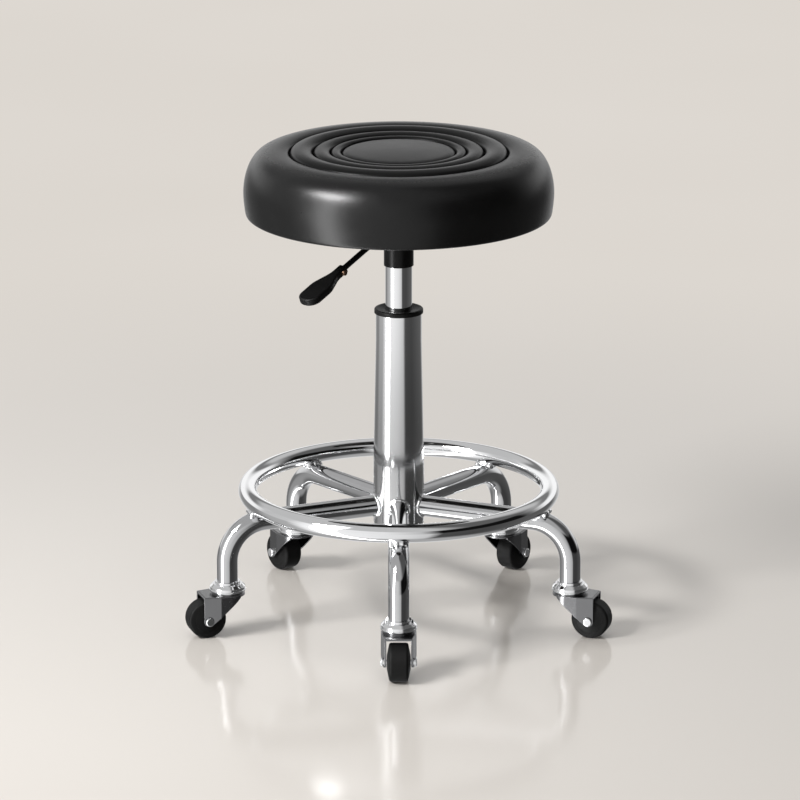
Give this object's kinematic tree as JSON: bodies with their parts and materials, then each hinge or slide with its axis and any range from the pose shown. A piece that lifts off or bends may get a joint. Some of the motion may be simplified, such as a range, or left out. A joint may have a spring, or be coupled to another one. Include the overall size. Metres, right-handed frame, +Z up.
{
  "type": "adjustable swivel stool",
  "caption": "Round padded stool on a gas lift with a side lever, a chrome foot ring and bent tube legs on swivel casters; the seat turns, rises and rolls.",
  "frame": {"origin": "on the floor, under the axis of the column and the seat", "axes": "+Z up along the column, -Y towards the front leg, +X to the right seen from the front"},
  "size_m": [0.446, 0.4244, 0.5085],
  "materials": {
    "chrome": "polished chrome plate",
    "plain_steel": "bare turned steel",
    "black_paint": "black powder coat",
    "black_plastic": "moulded black plastic",
    "tyre_rubber": "black rubber",
    "black_vinyl": "smooth satin black vinyl",
    "foam": "cut foam",
    "felt": "black non-woven felt",
    "plywood": "bare plywood",
    "bronze_screw": "dull bronze"
  },
  "bodies": {
    "base": {"leg_1": "chrome", "leg_2": "chrome", "leg_3": "chrome", "leg_4": "chrome", "leg_5": "chrome", "leg_sockets": "chrome", "caster_race_1": "chrome", "caster_race_2": "chrome", "caster_race_3": "chrome", "caster_race_4": "chrome", "caster_race_5": "chrome", "foot_ring": "chrome", "ring_welds": "chrome", "base_hub": "chrome", "column": "chrome", "column_bushing": "black_plastic", "column_base_plate": "plain_steel", "thrust_bearing": "plain_steel"},
    "lift_rod": {"piston_rod": "plain_steel", "piston": "black_plastic", "rod_clip": "plain_steel", "rubber_buffer": "tyre_rubber"},
    "seat": {"gas_cylinder": "chrome", "cylinder_gland": "black_plastic", "lift_socket": "black_paint", "seat_plate": "black_paint", "lever_bracket": "black_paint", "lever_pivot": "plain_steel", "plate_bolts": "plain_steel", "t_nuts": "plain_steel", "seat_board": "plywood", "seat_foam": "foam", "seat_cover": "black_vinyl", "dust_cover": "felt"},
    "lever": {"lever_rod": "black_paint", "lever_paddle": "black_plastic", "paddle_screw": "bronze_screw"},
    "release": {"release_pin": "plain_steel"},
    "caster_1": {"caster_fork_1": "chrome", "caster_axle_1": "chrome"},
    "wheel_1": {"caster_core_1": "black_plastic", "caster_tyre_1": "tyre_rubber"},
    "caster_2": {"caster_fork_2": "chrome", "caster_axle_2": "chrome"},
    "wheel_2": {"caster_core_2": "black_plastic", "caster_tyre_2": "tyre_rubber"},
    "caster_3": {"caster_fork_3": "chrome", "caster_axle_3": "chrome"},
    "wheel_3": {"caster_core_3": "black_plastic", "caster_tyre_3": "tyre_rubber"},
    "caster_4": {"caster_fork_4": "chrome", "caster_axle_4": "chrome"},
    "wheel_4": {"caster_core_4": "black_plastic", "caster_tyre_4": "tyre_rubber"},
    "caster_5": {"caster_fork_5": "chrome", "caster_axle_5": "chrome"},
    "wheel_5": {"caster_core_5": "black_plastic", "caster_tyre_5": "tyre_rubber"}
  },
  "joints": [
    {"name": "seat_swivel", "type": "hinge", "parent": "base", "child": "lift_rod", "pos_m": [0, 0, 0.12], "axis": [0, 0, 1], "continuous": true},
    {"name": "seat_height", "type": "slide", "parent": "lift_rod", "child": "seat", "axis": [0, 0, 1], "range_m": [-0.04, 0.1]},
    {"name": "lever_lift", "type": "hinge", "parent": "seat", "child": "lever", "pos_m": [-0.018, -0.02145, 0.41976], "axis": [-0.766, 0.6428, 0], "range_deg": [0, 10], "stiffness_Nm_per_rad": 1, "springref_deg": -2.86},
    {"name": "valve_press", "type": "slide", "parent": "seat", "child": "release", "axis": [0, 0, 1], "range_m": [-0.0052, 0]},
    {"name": "caster_swivel_1", "type": "hinge", "parent": "base", "child": "caster_1", "pos_m": [0, -0.188, 0.046], "axis": [0, 0, 1], "continuous": true},
    {"name": "caster_roll_1", "type": "hinge", "parent": "caster_1", "child": "wheel_1", "pos_m": [0, -0.212, 0.02], "axis": [1, 0, 0], "continuous": true},
    {"name": "caster_swivel_2", "type": "hinge", "parent": "base", "child": "caster_2", "pos_m": [0.1788, -0.0581, 0.046], "axis": [0, 0, 1], "continuous": true},
    {"name": "caster_roll_2", "type": "hinge", "parent": "caster_2", "child": "wheel_2", "pos_m": [0.20162, -0.06551, 0.02], "axis": [0.309, 0.9511, 0], "continuous": true},
    {"name": "caster_swivel_3", "type": "hinge", "parent": "base", "child": "caster_3", "pos_m": [0.1105, 0.1521, 0.046], "axis": [0, 0, 1], "continuous": true},
    {"name": "caster_roll_3", "type": "hinge", "parent": "caster_3", "child": "wheel_3", "pos_m": [0.12461, 0.17151, 0.02], "axis": [-0.809, 0.5878, 0], "continuous": true},
    {"name": "caster_swivel_4", "type": "hinge", "parent": "base", "child": "caster_4", "pos_m": [-0.1105, 0.1521, 0.046], "axis": [0, 0, 1], "continuous": true},
    {"name": "caster_roll_4", "type": "hinge", "parent": "caster_4", "child": "wheel_4", "pos_m": [-0.12461, 0.17151, 0.02], "axis": [-0.809, -0.5878, 0], "continuous": true},
    {"name": "caster_swivel_5", "type": "hinge", "parent": "base", "child": "caster_5", "pos_m": [-0.1788, -0.0581, 0.046], "axis": [0, 0, 1], "continuous": true},
    {"name": "caster_roll_5", "type": "hinge", "parent": "caster_5", "child": "wheel_5", "pos_m": [-0.20162, -0.06551, 0.02], "axis": [0.309, -0.9511, 0], "continuous": true}
  ],
  "couplings": [
    {"joint": "valve_press", "follows": "lever_lift", "m_per_rad": -0.0287}
  ]
}
